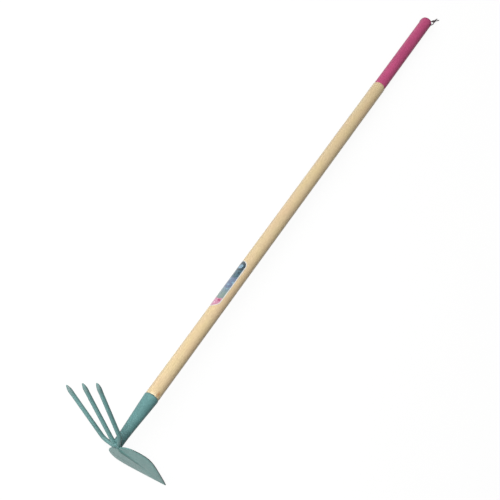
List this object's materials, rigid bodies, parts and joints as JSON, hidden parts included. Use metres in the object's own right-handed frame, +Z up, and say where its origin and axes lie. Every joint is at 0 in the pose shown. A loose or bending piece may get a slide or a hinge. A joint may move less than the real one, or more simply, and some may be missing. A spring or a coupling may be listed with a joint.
{
  "type": "hoe fork",
  "caption": "Long-handled combination hoe: pointed hoe plate opposite prongs on a tapered steel socket, round wooden handle, plastic grip sleeve with a hanging thong.",
  "frame": {"origin": "middle of the tool's box at floor level, without the thong, the tool lying on its side", "axes": "+X along the handle towards the grip's end, +Y the way the prongs point, +Z up from the floor"},
  "size_m": [1.3437, 0.2632, 0.1021],
  "materials": {
    "wood": "satin lacquer",
    "teal_paint": "satin enamel",
    "bare_steel": "plain zinc",
    "pink_sleeve": "satin",
    "thong": "matte",
    "label": "printed film"
  },
  "bodies": {
    "tool": {"handle_shaft": "wood", "head_socket": "teal_paint", "socket_disc": "bare_steel", "socket_screw": "bare_steel", "centre_tine": "teal_paint", "left_tine": "teal_paint", "right_tine": "teal_paint", "hoe_blade": "teal_paint", "upper_weld": "teal_paint", "lower_weld": "teal_paint", "grip_sleeve": "pink_sleeve", "shaft_label": "label"},
    "hang_loop": {"hang_cord_front": "thong", "hang_cord_back": "thong", "cord_knot": "thong"}
  },
  "joints": [
    {"name": "hang_loop_swing", "type": "hinge", "parent": "tool", "child": "hang_loop", "pos_m": [0.63821, 0.00115, 0.01334], "axis": [0.0226, -0.5945, 0.8038], "range_deg": [-84, 136]}
  ]
}
